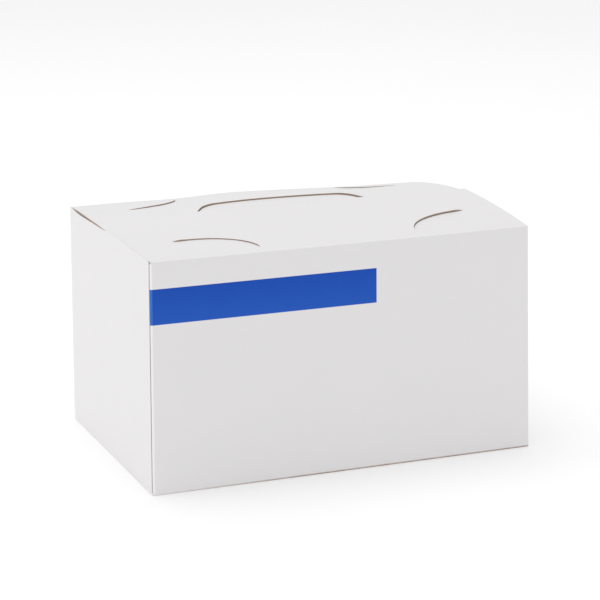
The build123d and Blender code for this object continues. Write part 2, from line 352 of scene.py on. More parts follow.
@dataclass(frozen=True)
class KraftFinish:
    """Uncoated brown board, for insides and raw edges."""

    light: Colour = rgb(0.40, 0.285, 0.195)
    dark: Colour = rgb(0.27, 0.18, 0.115)
    fibres: float = 900.0
    clouds: float = 70.0
    fleck_weight: float = 0.7
    cloud_weight: float = 0.5
    darker: float = 0.1
    relief: float = 0.03 * MM
    roughness: float = 0.86

    def colour(self, bench: Bench) -> Signal:
        """Fibres over slow clouds of colour."""
        fleck = bench.noise(self.fibres, 4.0, (1.0, 0.25, 1.0)) * self.fleck_weight
        cloud = bench.noise(self.clouds, 2.0) * self.cloud_weight
        return bench.blend((fleck + cloud - self.darker).clamped(), self.dark, self.light)

    def material(self, name: str) -> Material:
        """Kraft with its fibres in relief."""
        bench = Bench(name)
        relief = bench.bump(bench.noise(self.fibres, 5.0), self.relief)
        return bench.surface(Base_Color=self.colour(bench), Roughness=self.roughness, Normal=relief)


@dataclass(frozen=True)
class CoatedFinish:
    """White clay coated face of the board."""

    white: Colour = rgb(0.812, 0.799, 0.806)
    shade: Colour = rgb(0.790, 0.777, 0.785)
    clouds: float = 42.0
    tooth: float = 2600.0
    tooth_weight: float = 0.02
    ripple: float = 24.0
    depth: float = 0.11 * MM
    roughness: float = 0.42
    uneven: float = 0.1
    kraft: KraftFinish = KraftFinish()

    def paper(self, bench: Bench) -> Signal:
        """Slightly clouded white."""
        return bench.blend(bench.noise(self.clouds, 3.0), self.shade, self.white)

    def gloss(self, bench: Bench) -> Signal:
        """Roughness, a little uneven like rolled clay."""
        return bench.noise(self.tooth / 5, 2.0) * self.uneven + (self.roughness - self.uneven / 2)

    def relief(self, bench: Bench) -> Signal:
        """Fine tooth over a slow ripple of the board."""
        height = bench.noise(self.tooth, 3.0) * self.tooth_weight + bench.noise(self.ripple, 1.0)
        return bench.bump(height, self.depth)

    def board(self, bench: Bench, colour: Signal, roughness: Signal) -> Material:
        """Board with its relief under the given colour and roughness."""
        return bench.surface(
            Base_Color=colour, Roughness=roughness, Normal=self.relief(bench), Specular_IOR_Level=BOARD_GLOSS
        )

    def material(self, name: str) -> Material:
        """White board without print."""
        bench = Bench(name)
        return self.board(bench, self.paper(bench), self.gloss(bench))

    def wear_and_shade(self, bench: Bench) -> Signal:
        """Mask of the front crease of the base along the floor, turned kraft brown: cracked coating and a painted
        contact shadow.
        """
        x, y, z = bench.axes(bench.place())
        near = (1 - z.above(WEAR_SHADE_HEIGHT, WEAR_SHADE_HEIGHT)) * (1 - y.above(CAD_BOX[0].y + WEAR_SHADE_DEPTH, 0.1 * MM))
        patches = (bench.noise(WEAR_SHADE_GRAIN, 2.0) * WEAR_SHADE_PATCHES + WEAR_SHADE_PATCHES).clamped()
        return near * x.above(WEAR_SHADE_START, WEAR_SHADE_FADE) * patches

    def one_sided(self, name: str, outside: Outside) -> Material:
        """Board that is coated on one face and brown on the other face and its edges."""
        bench = Bench(name)
        x, y, z = (part * way for part, way in zip(bench.facing(), outside.value))
        coated = (x + y + z).above(MOSTLY, 0.1)
        if outside is Outside.FRONT_BASE:
            # Cracked coating and painted contact shadow: kraft brown along the front crease where it meets the
            # floor.
            coated = coated * (1 - self.wear_and_shade(bench))
        colour = bench.blend(coated, self.kraft.colour(bench), self.paper(bench))
        return self.board(bench, colour, coated * (self.roughness - self.kraft.roughness) + self.kraft.roughness)


@dataclass(frozen=True)
class PrintedFinish(CoatedFinish):
    """White board with the plain blue band printed on the front wall."""

    ink: Colour = rgb(0.003, 0.070, 0.45)
    # Paler ink towards the band's foot.
    ink_paler: Colour = rgb(0.012, 0.096, 0.51)
    # Brighter ink and paper on the front left fold beside the seam, and how far they reach: rubbed print and a
    # painted highlight of the fold.
    ink_rubbed_highlit: Colour = rgb(0.030, 0.17, 0.66)
    paper_rubbed_highlit: Colour = rgb(0.90, 0.89, 0.885)
    rubbed_highlight_reach: float = 1.05 * MM
    paler_from: float = 0.75
    matt: float = 0.33
    edge: float = 0.12 * MM

    def seam_fold_highlight(self, bench: Bench) -> Signal:
        """Mask of the front left fold beside the seam, where ink and paper are brighter: rubbed print and a painted
        highlight of the fold.
        """
        low = CAD_BOX[0]
        x, y, z = bench.axes(bench.place())
        upright = x + z * (low.x * LEFT_WALL_LEAN / hinge_height())
        return self.in_front(y) * (1 - upright.above(low.x + self.rubbed_highlight_reach, 3 * self.edge))

    def in_front(self, y: Signal) -> Signal:
        """Mask of everything before the left wall's raw edge."""
        return 1 - y.above(CAD_BOX[0].y + SEAM_EDGE_SETBACK, self.edge)

    def band(self, bench: Bench) -> Signal:
        """Mask of the band, from the front left corner to its right end."""
        low, high = CAD_BOX
        x, y, z = bench.axes(bench.place())
        top = hinge_height()
        right = low.x + BAND_RIGHT * (high.x - low.x)
        within = z.above(BAND_LOW * top, self.edge) * (1 - z.above(BAND_HIGH * top, self.edge))
        return within * self.in_front(y) * (1 - x.above(right, self.edge))

    def material(self, name: str) -> Material:
        """White board with the band."""
        bench = Bench(name)
        band = self.band(bench)
        low, high = BAND_LOW * hinge_height(), BAND_HIGH * hinge_height()
        height = (bench.axes(bench.place())[2] - low) / (high - low)
        # The ink gets paler towards the band's foot, unevenly by noise.
        paler = (bench.noise(self.clouds * 3, 4.0) * 0.5 + (self.paler_from - height)).clamped()
        # Rubbed print and a painted highlight on the front left fold: brighter ink and paper there.
        fold = self.seam_fold_highlight(bench)
        ink = bench.blend(fold, bench.blend(paler, self.ink, self.ink_paler), self.ink_rubbed_highlit)
        paper = bench.blend(fold, self.paper(bench), self.paper_rubbed_highlit)
        return self.board(bench, bench.blend(band, paper, ink), self.gloss(bench) + band * self.matt)


@dataclass(frozen=True)
class MouldedFinish:
    """Plastic of the jars and caps, and the dried glue."""

    colour: Colour
    roughness: float
    see_through: float = 0.0
    shade: Colour = rgb(0.62, 0.65, 0.67)
    clouds: float = 60.0
    shaded: float = 0.25
    grain: float = 1500.0
    detail: float = 2.0
    uneven: float = 0.08
    depth: float = 0.02 * MM
    index: float = 1.49

    def material(self, name: str) -> Material:
        """Two close colours in clouds, with a grain in gloss and relief."""
        bench = Bench(name)
        grain = bench.noise(self.grain, self.detail)
        return bench.surface(
            Base_Color=bench.blend(bench.noise(self.clouds, self.detail) * self.shaded, self.colour, self.shade),
            Roughness=grain * self.uneven + self.roughness,
            Normal=bench.bump(grain, self.depth),
            IOR=self.index,
            Transmission_Weight=self.see_through,
        )


@dataclass(frozen=True)
class LiquidFinish:
    """Clear fixative."""

    colour: Colour = rgb(0.93, 0.97, 0.98)
    roughness: float = 0.02
    index: float = 1.34

    def material(self, name: str) -> Material:
        """Water clear liquid."""
        bench = Bench(name)
        return bench.surface(
            Base_Color=self.colour, Roughness=self.roughness, IOR=self.index, Transmission_Weight=1.0
        )


def clamp(value: float) -> float:
    """A value kept between 0 and 1."""
    return min(max(value, 0), 1)


def hinge_height() -> float:
    """Height of the front flap's fold."""
    return next(joint["pos_m"][2] for joint in frame["joints"] if joint["name"] == "front_flap_hinge")


def clear_selection() -> None:
    """Leaves nothing selected, in object mode."""
    if bpy.context.object and bpy.context.object.mode != "OBJECT":
        bpy.ops.object.mode_set(mode="OBJECT")
    bpy.ops.object.select_all(action="DESELECT")


def activate(piece: Object) -> None:
    """Makes a piece the only selected and active one."""
    clear_selection()
    piece.select_set(True)
    bpy.context.view_layer.objects.active = piece


def edit(piece: Object) -> None:
    """Opens a piece in edit mode with all of it selected."""
    activate(piece)
    bpy.ops.object.mode_set(mode="EDIT")
    bpy.ops.mesh.select_all(action="SELECT")


def close() -> None:
    """Back to object mode."""
    bpy.ops.object.mode_set(mode="OBJECT")


def pick(piece: Object, wanted: Callable[[Vector], bool], mode: str = "VERT") -> None:
    """Opens a piece with some of it selected: points and faces by their middle, edges by their ends.

    Args:
        piece: The piece.
        wanted: Test of a place, in the piece's own frame.
        mode: VERT, EDGE or FACE.
    """
    edit(piece)
    bpy.ops.mesh.select_mode(type=mode)
    bpy.ops.mesh.select_all(action="DESELECT")
    close()
    mesh = piece.data
    for part in {"VERT": mesh.vertices, "EDGE": mesh.edges, "FACE": mesh.polygons}[mode]:
        if mode == "EDGE":
            part.select = all(wanted(mesh.vertices[i].co) for i in part.vertices)
        else:
            part.select = wanted(part.co if mode == "VERT" else part.center)
    bpy.ops.object.mode_set(mode="EDIT")


def weld(piece: Object, reach: float = WELD) -> None:
    """Merges points that lie on each other and turns all faces outwards."""
    edit(piece)
    bpy.ops.mesh.remove_doubles(threshold=reach)
    bpy.ops.mesh.normals_make_consistent(inside=False)
    close()


def reshape(piece: Object, place: Callable[[float, float, float], Sequence[float]]) -> None:
    """Moves every point of a piece to a new place."""
    for vertex in piece.data.vertices:
        vertex.co = place(*vertex.co)


def modify(piece: Object, kind: str, **settings: Any) -> None:
    """Adds a modifier and applies it."""
    activate(piece)
    modifier = piece.modifiers.new(kind.title(), kind)
    for key, value in settings.items():
        setattr(modifier, key, value)
    bpy.ops.object.modifier_apply(modifier=modifier.name)


def remove(piece: Object) -> None:
    """Deletes a helper object with its mesh."""
    mesh = piece.data
    bpy.data.objects.remove(piece)
    bpy.data.meshes.remove(mesh)


def name_piece(piece: Object, name: str) -> Object:
    """Names an object and its mesh."""
    piece.name = name
    piece.data.name = name
    return piece


def link_new(name: str, data: ID) -> Object:
    """New object in the scene with the given data, which takes its name too."""
    data.name = name
    made = bpy.data.objects.new(name, data)
    bpy.context.scene.collection.objects.link(made)
    return made


def unit_grid(name: str, columns: int, rows: int, middle: Sequence[float] = (0, 0, 0)) -> Object:
    """Flat grid with sides of 1."""
    clear_selection()
    bpy.ops.mesh.primitive_grid_add(x_subdivisions=columns, y_subdivisions=rows, size=1, location=middle)
    return name_piece(bpy.context.object, name)


def slab(name: str, sides: tuple[float, float], cell: float, middle: Vector, spare: float = 1) -> Object:
    """Flat board with its top face at Z = 0.

    Args:
        name: The board's name.
        sides: Its size along X and Y.
        cell: Size of the cells that it is divided in.
        middle: The middle of its top face.
        spare: Factor by which it is made larger, to be cut to shape.

    Returns:
        The board.
    """
    board = unit_grid(name, round(sides[0] / cell), round(sides[1] / cell), middle)
    board.scale = (sides[0] * spare, sides[1] * spare, 1)
    activate(board)
    bpy.ops.object.transform_apply(location=True, rotation=True, scale=True)
    modify(board, "SOLIDIFY", thickness=BOARD, offset=-1.0)
    return board


def prism(outline: Outline, low: float, high: float) -> Object:
    """Upright solid over an outline.

    Args:
        outline: Corners in plan, anticlockwise.
        low: Height of its foot.
        high: Height of its top.

    Returns:
        The solid, as a helper object.
    """
    clear_selection()
    bpy.ops.mesh.primitive_circle_add(vertices=len(outline), fill_type="NGON")
    solid = bpy.context.object
    for vertex, (x, y) in zip(solid.data.vertices, outline):
        vertex.co = (x, y, low)
    edit(solid)
    bpy.ops.mesh.extrude_region_move(TRANSFORM_OT_translate={"value": (0, 0, high - low)})
    weld(solid)
    return solid


def rounded(corners: Outline, radii: Sequence[float], steps: int = 12) -> list[tuple[float, float]]:
    """Outline with its corners rounded by arcs.

    Args:
        corners: The sharp corners.
        radii: The radius at each corner, or 0.
        steps: Points along each arc.

    Returns:
        The points of the rounded outline.
    """
    points: list[tuple[float, float]] = []
    count = len(corners)
    for i, (corner, radius) in enumerate(zip(corners, radii)):
        here = Vector(corner)
        back = (Vector(corners[i - 1]) - here).normalized()
        onward = (Vector(corners[(i + 1) % count]) - here).normalized()
        if not radius:
            points.append(tuple(here))
            continue
        half = back.angle(onward) / 2
        centre = here + (back + onward).normalized() * (radius / math.sin(half))
        start = here + back * (radius / math.tan(half)) - centre
        end = here + onward * (radius / math.tan(half)) - centre
        turn = start.angle_signed(end)
        for step in range(steps + 1):
            spoke = start.copy()
            spoke.rotate(Matrix.Rotation(-turn * step / steps, 2))
            points.append(tuple(centre + spoke))
    return points


def cut_with(board: Object, outline: Outline, operation: str) -> None:
    """Cuts a flat board with the solid over an outline."""
    cutter = prism(outline, -CUT_REACH, CUT_REACH)
    modify(board, "BOOLEAN", operation=operation, object=cutter, solver="EXACT")
    remove(cutter)


def smooth(piece: Object, degrees: float) -> None:
    """Smooth shading with sharp edges past an angle."""
    activate(piece)
    bpy.ops.object.shade_smooth_by_angle(angle=math.radians(degrees))


class Wardrobe:
    """The finished materials, made once."""

    def __init__(self) -> None:
        """Makes every material."""
        self.coated = CoatedFinish().material("coated_board")
        self.printed = PrintedFinish().material("printed_board")
        self.kraft = KraftFinish().material("kraft_face")
        self.raw_edge = KraftFinish(rgb(0.47, 0.34, 0.27), rgb(0.33, 0.23, 0.17), EDGE_FIBRES).material("raw_edge")
        seam = KraftFinish(rgb(0.74, 0.68, 0.63), rgb(0.66, 0.58, 0.52), EDGE_FIBRES)
        self.seam_edge = seam.material("seam_edge")
        self.folded = {side: CoatedFinish().one_sided(f"board_{side.name.lower()}", side) for side in Outside}
        self.pad = KraftFinish(rgb(0.46, 0.34, 0.23), rgb(0.34, 0.24, 0.155)).material("pad_board")
        self.cap = MouldedFinish(rgb(0.80, 0.81, 0.82), 0.34).material("cap_plastic")
        self.jar = MouldedFinish(rgb(0.86, 0.88, 0.88), 0.22, see_through=0.75).material("jar_plastic")
        self.liquid = LiquidFinish().material("fixative")
        glue = MouldedFinish(
            rgb(0.72, 0.66, 0.50), 0.3, shade=rgb(0.6, 0.54, 0.38), clouds=400.0, shaded=1.0, grain=400.0,
            detail=3.0, uneven=0.2, depth=0.05 * MM, index=1.5,
        )
        self.glue = glue.material("seam_glue")


def curve(stations: Stations, share: float) -> float:
    """Smooth curve through stations, read at one place.

    Args:
        stations: Place and value of each station, in order.
        share: The place to read, kept between the first and last station.

    Returns:
        The value there.
    """
    share = min(max(share, stations[0][0]), stations[-1][0])
    i = max(k for k in range(len(stations) - 1) if stations[k][0] <= share)
    (x1, y1), (x2, y2) = stations[i], stations[i + 1]
    x0, y0 = stations[i - 1] if i else (2 * x1 - x2, 2 * y1 - y2)
    x3, y3 = stations[i + 2] if i + 2 < len(stations) else (2 * x2 - x1, 2 * y2 - y1)
    t = (share - x1) / (x2 - x1)
    slope1 = (y2 - y0) / (x2 - x0) * (x2 - x1)
    slope2 = (y3 - y1) / (x3 - x1) * (x2 - x1)
    start = (2 * t**3 - 3 * t**2 + 1) * y1 + (t**3 - 2 * t**2 + t) * slope1
    return start + (3 * t**2 - 2 * t**3) * y2 + (t**3 - t**2) * slope2


@dataclass(frozen=True)
class SlitPlan:
    """Measures of one relief slit, a quarter of an ellipse."""

    from_side: float
    from_fold: float
    along: float
    across: float
    openings: Stations


FRONT_SLITS = (
    SlitPlan(
        17.0 * MM, 6.5 * MM, 29.5 * MM, 18.6 * MM,
        in_mm((0, 0), (0.1, 0.4), (0.45, 0.32), (0.85, 0.45), (0.94, 0.6), (1, 0)),
    ),
    SlitPlan(
        16.0 * MM, 6.5 * MM, 29.7 * MM, 20.4 * MM,
        in_mm((0, 0), (0.1, 0.3), (0.5, 0.6), (0.85, 0.7), (0.94, 0.7), (1, 0)),
    ),
)
REAR_SLITS = (
    SlitPlan(
        19.1 * MM, 3.0 * MM, 25.6 * MM, 17.2 * MM,
        in_mm((0, 0), (0.1, 0.35), (0.5, 0.5), (0.88, 0.35), (1, 0)),
    ),
    SlitPlan(
        14.2 * MM, 1.2 * MM, 25.0 * MM, 13.2 * MM,
        in_mm((0, 0), (0.15, 0.15), (0.4, 0.35), (0.75, 0.25), (1, 0)),
    ),
)


@dataclass
class Slit:
    """One relief slit in its flap."""

    plan: SlitPlan
    centre: Vector
    inward: int
    towards: int

    def ring(self, x: float, y: float) -> float:
        """Signed distance from the slit's ellipse, less than 0 inside it."""
        across = (x - self.centre.x) / self.plan.along
        along = (y - self.centre.y) / self.plan.across
        return (math.hypot(across, along) - 1) * (self.plan.along + self.plan.across) / 2

    def opening(self, x: float, y: float) -> float:
        """How far the lips stand apart beside a point, or 0 away from the slit."""
        along = (x - self.centre.x) * self.towards / self.plan.along
        across = (y - self.centre.y) * self.inward / self.plan.across
        share = math.atan2(across, along) / (math.pi / 2)
        return curve(self.plan.openings, share) if 0 <= share <= 1 else 0.0

    def outline(self) -> list[tuple[float, float]]:
        """The slit's narrow outline with pointed ends."""
        outer, inner = [], []
        for step in range(SLIT_STEPS + 1):
            angle = math.pi / 2 * step / SLIT_STEPS
            half = SLIT_WIDTH / 2 * (SLIT_POINT + (1 - SLIT_POINT) * math.sin(math.pi * step / SLIT_STEPS))
            for points, grow in ((outer, half), (inner, -half)):
                x = self.centre.x + self.towards * (self.plan.along + grow) * math.cos(angle)
                y = self.centre.y + self.inward * (self.plan.across + grow) * math.sin(angle)
                points.append((x, y))
        return outer + inner[::-1]


@dataclass
class RoofShape:
    """Heights of the bent top flaps over the carton."""

    low: Vector
    high: Vector
    top: float

    @property
    def ridge(self) -> float:
        """Place of the ridge along Y."""
        return self.low.y + RIDGE_FROM_FRONT

    def across(self, x: float) -> float:
        """Share of the width, from -0.5 at the left wall to 0.5 at the right wall."""
        return (x - self.low.x) / (self.high.x - self.low.x) - 0.5

    def rise(self, x: float) -> float:
        """Height of the ridge at x."""
        return curve(RIDGE_RISES, self.across(x))

    def lean(self, x: float, z: float) -> float:
        """Place along X at a height, because the end walls lean in towards the top."""
        share = LEFT_WALL_LEAN if x < 0 else RIGHT_WALL_LEAN
        return x * (1 - share * clamp(z / self.top))

    def squeeze(self, x: float, y: float) -> float:
        """How far the raw edge of the seam is squeezed and the fold behind it bulges out."""
        deep, inside = y - self.low.y, x - self.low.x
        if inside < BOARD / 2:
            return 0.0
        past = deep - SEAM_EDGE_SETBACK if deep > FOLD_RADIUS / 2 and inside < 3 * BOARD else inside - 3 * BOARD
        return SEAM_SQUEEZE * (1 - clamp(past / SEAM_SQUEEZE_REACH))

    def spring(self, x: float, share: float) -> float:
        """Share of the rise at a share of the way up, because the flaps bend and don't only turn."""
        return share + curve(FLAP_SPRINGS, self.across(x)) * share * (1 - share)

    def depth_share(self, y: float) -> float:
        """Share of the depth, from 0 at the front wall to 1 at the rear wall."""
        return clamp((y - self.low.y) / (self.high.y - self.low.y))

    def edge_lift(self, x: float, y: float) -> float:
        """How far the walls' top edge stands above or below its true height."""
        share = self.depth_share(y)
        across = self.across(x)
        return curve(REAR_FOLD_LIFTS, across) * share**2 + curve(FRONT_FOLD_LIFTS, across) * (1 - share) ** 4

    def left_top(self, y: float) -> float:
        """Top of the left wall, which hides the front flap's edge and bares the rear flap's."""
        x = self.low.x + FLAP_INSET_LEFT
        if y <= self.ridge:
            return self.front_panel(x, max(y, self.low.y)) - LEFT_WALL_SHORTFALL
        share = min((y - self.ridge) / (self.high.y - self.ridge), 1)
        rest = self.top + self.rise(x) * (1 - share) + curve(REAR_FOLD_LIFTS, -0.5) * share
        return rest - curve(BARE_EDGES, share) - LEFT_WALL_SHORTFALL

    def front_panel(self, x: float, y: float) -> float:
        """Top face of the front flap before the ridge."""
        share = (y - self.low.y) / RIDGE_FROM_FRONT
        lift = curve(FRONT_FOLD_LIFTS, self.across(x)) * max(1 - share, 0)
        return self.top + lift + self.rise(x) * self.spring(x, share)

    def rear_panel(self, x: float, y: float) -> float:
        """Top face of the rear flap behind the ridge."""
        share = (self.high.y - y) / (self.high.y - self.ridge)
        height = (self.rise(x) - BOARD - SHEET_GAP) * self.spring(x, share)
        lift = curve(REAR_FOLD_LIFTS, self.across(x))
        lift *= (1 - share) if lift > 0 else (1 - share) ** 3
        ends = min(LEFT_EDGE_RIDGE_STEEPNESS * (1 - share), 1) * min(LEFT_EDGE_FOLD_STEEPNESS * share, 1)
        curl = math.exp(-(((x - self.low.x) / LEFT_EDGE_REACH) ** 2)) * ends
        return self.top + height + lift + LEFT_EDGE_LIFT * curl

    def window_lift(self, x: float, y: float) -> float:
        """Lift of the rear flap's edge behind the tongue, and of the tongue's tip with it."""
        share = (x - TONGUE_MIDDLE) / TONGUE_ROOT
        if y < self.ridge or abs(share) > 0.5:
            return 0.0
        past = (y - self.ridge) / TONGUE_REACH
        fade = past if past < 1 else math.exp((1 - past) * TONGUE_REACH / LIP_LIFT_REACH)
        return curve(LIP_LIFTS, share) * math.cos(math.pi * share) ** LIP_ROUNDNESS * fade

    def front(self, x: float, y: float) -> float:
        """Top face of the front flap and its tongue."""
        if y <= self.ridge:
            return self.front_panel(x, y)
        past = y - self.ridge
        sunk = self.rear_panel(x, y) + self.window_lift(x, y) - BOARD - SHEET_GAP / 3
        share = min(past / TONGUE_DROP, 1)
        ease = share * share * (3 - 2 * share)
        return (1 - ease) * (self.top + self.rise(x)) + ease * sunk

    def rear(self, x: float, y: float) -> float:
        """Top face of the rear flap and its lip below the front flap."""
        if y < self.ridge:
            return self.front_panel(x, y) - BOARD - SHEET_GAP
        return self.rear_panel(x, y) + self.window_lift(x, y)


@dataclass
class RoofFlap:
    """One of the two long top flaps, cut flat and then bent."""

    roof: RoofShape
    wardrobe: Wardrobe
    node: str
    body: str
    front: bool

    def fold(self) -> float:
        """Place of the flap's fold along Y."""
        return self.roof.low.y if self.front else self.roof.high.y

    def inward(self) -> int:
        """Direction from the fold to the middle."""
        return 1 if self.front else -1

    @cached_property
    def slits(self) -> list[Slit]:
        """The flap's two slits."""
        sides = ((self.roof.low.x, 1), (self.roof.high.x, -1))
        made = []
        for (side, towards), plan in zip(sides, FRONT_SLITS if self.front else REAR_SLITS):
            centre = Vector((side + towards * plan.from_side, self.fold() + self.inward() * plan.from_fold))
            made.append(Slit(plan, centre, self.inward(), towards))
        return made

    def blank(self) -> Object:
        """Flat board, large enough for the flap."""
        width = self.roof.high.x - self.roof.low.x - FLAP_INSET_LEFT - FLAP_INSET_RIGHT
        reach = RIDGE_FROM_FRONT + TONGUE_REACH if self.front else self.fold() - self.roof.ridge + REAR_LIP
        middle = ((FLAP_INSET_LEFT - FLAP_INSET_RIGHT) / 2, self.fold() + self.inward() * reach / 2, 0)
        return slab(self.node + "_board", (width, reach), ROOF_CELL, middle)

    def tongue(self, grow: float) -> list[tuple[float, float]]:
        """Outline of the tongue, or of its window when grown."""
        root, left, right = TONGUE_ROOT / 2 + grow, TONGUE_TIP_LEFT + grow, TONGUE_TIP_RIGHT + grow
        start, end = self.roof.ridge, self.roof.ridge + TONGUE_REACH + grow
        back = start - BOARD - grow
        corners = [(-root, back), (root, back), (root, start), (right, end), (-left, end), (-root, start)]
        placed = [(x + TONGUE_MIDDLE, y) for x, y in corners]
        return rounded(placed, [0, 0, 0, TONGUE_ROUND_RIGHT, TONGUE_ROUND_LEFT, 0])

    def trim(self, board: Object) -> None:
        """Cuts the outline, the window and the slits."""
        outlines = [slit.outline() for slit in self.slits]
        if self.front:
            side = self.roof.high.x + MM
            start, beyond = self.roof.ridge, self.roof.ridge + TONGUE_REACH + MM
            tongue = self.tongue(0)[2:]
            waste = [(side, start), (side, beyond), (-side, beyond), (-side, start)]
            outlines.insert(0, waste + tongue[::-1])
        else:
            outlines.insert(0, self.tongue(TONGUE_GAP))
        for outline in outlines:
            cut_with(board, outline, "DIFFERENCE")

    def round_fold(self, board: Object) -> None:
        """Rounds the outer edge along the fold."""
        pick(board, lambda v: abs(v.y - self.fold()) < TINY and abs(v.z) < TINY, "EDGE")
        bpy.ops.mesh.bevel(offset=FLAP_FOLD_BEVEL, segments=3, profile=0.5)
        close()

    def bend(self, board: Object) -> None:
        """Lifts every point to the bent roof, with the lips of the slits apart."""
        roof = self.roof
        height = roof.front if self.front else roof.rear
        reshape(board, lambda x, y, z: (roof.lean(x, roof.top), y, z + height(x, y) + self.lip_lift(x, y)))

    def lip_lift(self, x: float, y: float) -> float:
        """Lift of the slits' lips: the lip nearer to the rear stands higher."""
        lift = 0.0
        for slit in self.slits:
            away = slit.ring(x, y)
            fade = math.exp(-abs(away) / SLIT_LIFT_REACH)
            rises = away > 0 if self.front else away < 0
            lift += slit.opening(x, y) * fade * (SLIT_FAR_SHARE if rises else SLIT_FAR_SHARE - 1)
        return lift

    def dress(self, board: Object) -> None:
        """White above, brown below and on the cut edges; the fold and the curled sides stay white."""
        for material in (self.wardrobe.coated, self.wardrobe.kraft, self.wardrobe.raw_edge):
            board.data.materials.append(material)
        for face in board.data.polygons:
            at_fold = abs(face.center.y - self.fold()) < FLAP_FOLD_BEVEL
            at_side = self.front and abs(face.normal.x) > MOSTLY and abs(face.center.x) > self.roof.high.x - MM
            if face.normal.z > MOSTLY or at_fold or at_side:
                face.material_index = Side.COATED
            else:
                face.material_index = Side.INSIDE if face.normal.z < -MOSTLY else Side.RAW

    def build(self) -> Object:
        """Makes the flap in its node's place."""
        board = self.blank()
        self.trim(board)
        self.round_fold(board)
        self.dress(board)
        self.bend(board)
        smooth(board, FLAP_CREASE)
        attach(board, self.body)
        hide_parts(self.node)
        return board


@dataclass
class DustFlap:
    """End flap that lies below the roof, bent like the carton's top edge."""

    roof: RoofShape
    wardrobe: Wardrobe
    node: str
    body: str
    outside: Outside
    tip_half: float = 16.7 * MM
    tip_round: float = 8.0 * MM
    wall_gap: float = 0.1 * MM
    spare: float = 1.02

    def outline(self) -> list[tuple[float, float]]:
        """Tapered outline with round tips, anticlockwise, with its fold on the left."""
        low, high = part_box(self.node)
        start, reach = BOARD + self.wall_gap, high.x - low.x
        half = (high.y - low.y) / 2
        corners = [(start, -half), (reach, -self.tip_half), (reach, self.tip_half), (start, half)]
        return rounded(corners, [0, self.tip_round, self.tip_round, 0], 10)

    def build(self) -> Object:
        """Makes the flap in its node's place."""
        low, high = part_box(self.node)
        reach, depth = high.x - low.x, high.y - low.y
        board = slab(self.node + "_board", (reach, depth), PANEL_CELL, (reach / 2, 0, 0), self.spare)
        cut_with(board, self.outline(), "INTERSECT")
        way = -self.outside.value[0]
        start = low.x if way > 0 else high.x
        for vertex in board.data.vertices:
            x, y, z = start + way * vertex.co.x, way * vertex.co.y, high.z + vertex.co.z
            lift = curve(REAR_FOLD_LIFTS, self.roof.across(x)) * self.roof.depth_share(y) ** 2
            vertex.co = (self.roof.lean(x, z), y, z + lift)
        board.data.materials.append(self.wardrobe.folded[self.outside])
        smooth(board, FLAP_CREASE)
        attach(board, self.body)
        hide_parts(self.node)
        return board


@dataclass
class SeamGlue:
    """Film of adhesive between the glue flap and the left wall."""

    roof: RoofShape
    wardrobe: Wardrobe
    cell: float = 1.5 * MM
    squeeze: float = 0.35 * MM
    waves: tuple[float, float] = (3 * MM, 7 * MM)
    clearance: float = 0.1

    def build(self) -> Object:
        """Makes the film with an uneven edge, leaning with the wall."""
        low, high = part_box("side_seam_glue")
        rows, columns = round((high.z - low.z) / self.cell), round((high.y - low.y) / self.cell)
        film = unit_grid("seam_glue_film", columns, rows)
        for vertex in film.data.vertices:
            u, v, _ = vertex.co
            z = low.z + (v + 0.5) * (high.z - low.z)
            wave = self.squeeze * math.sin(z / self.waves[0]) * math.cos(z / self.waves[1])
            y = (low.y + high.y) / 2 + u * (high.y - low.y - 2 * self.squeeze + wave)
            x = low.x + self.clearance * (high.x - low.x)
            vertex.co = (self.roof.lean(x - self.roof.squeeze(x, y), z), y, z)
        modify(film, "SOLIDIFY", thickness=(1 - 2 * self.clearance) * (high.x - low.x), offset=1.0)
        film.data.materials.append(self.wardrobe.glue)
        smooth(film, FILM_CREASE)
        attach(film, "carton")
        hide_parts("side_seam_glue")
        return film


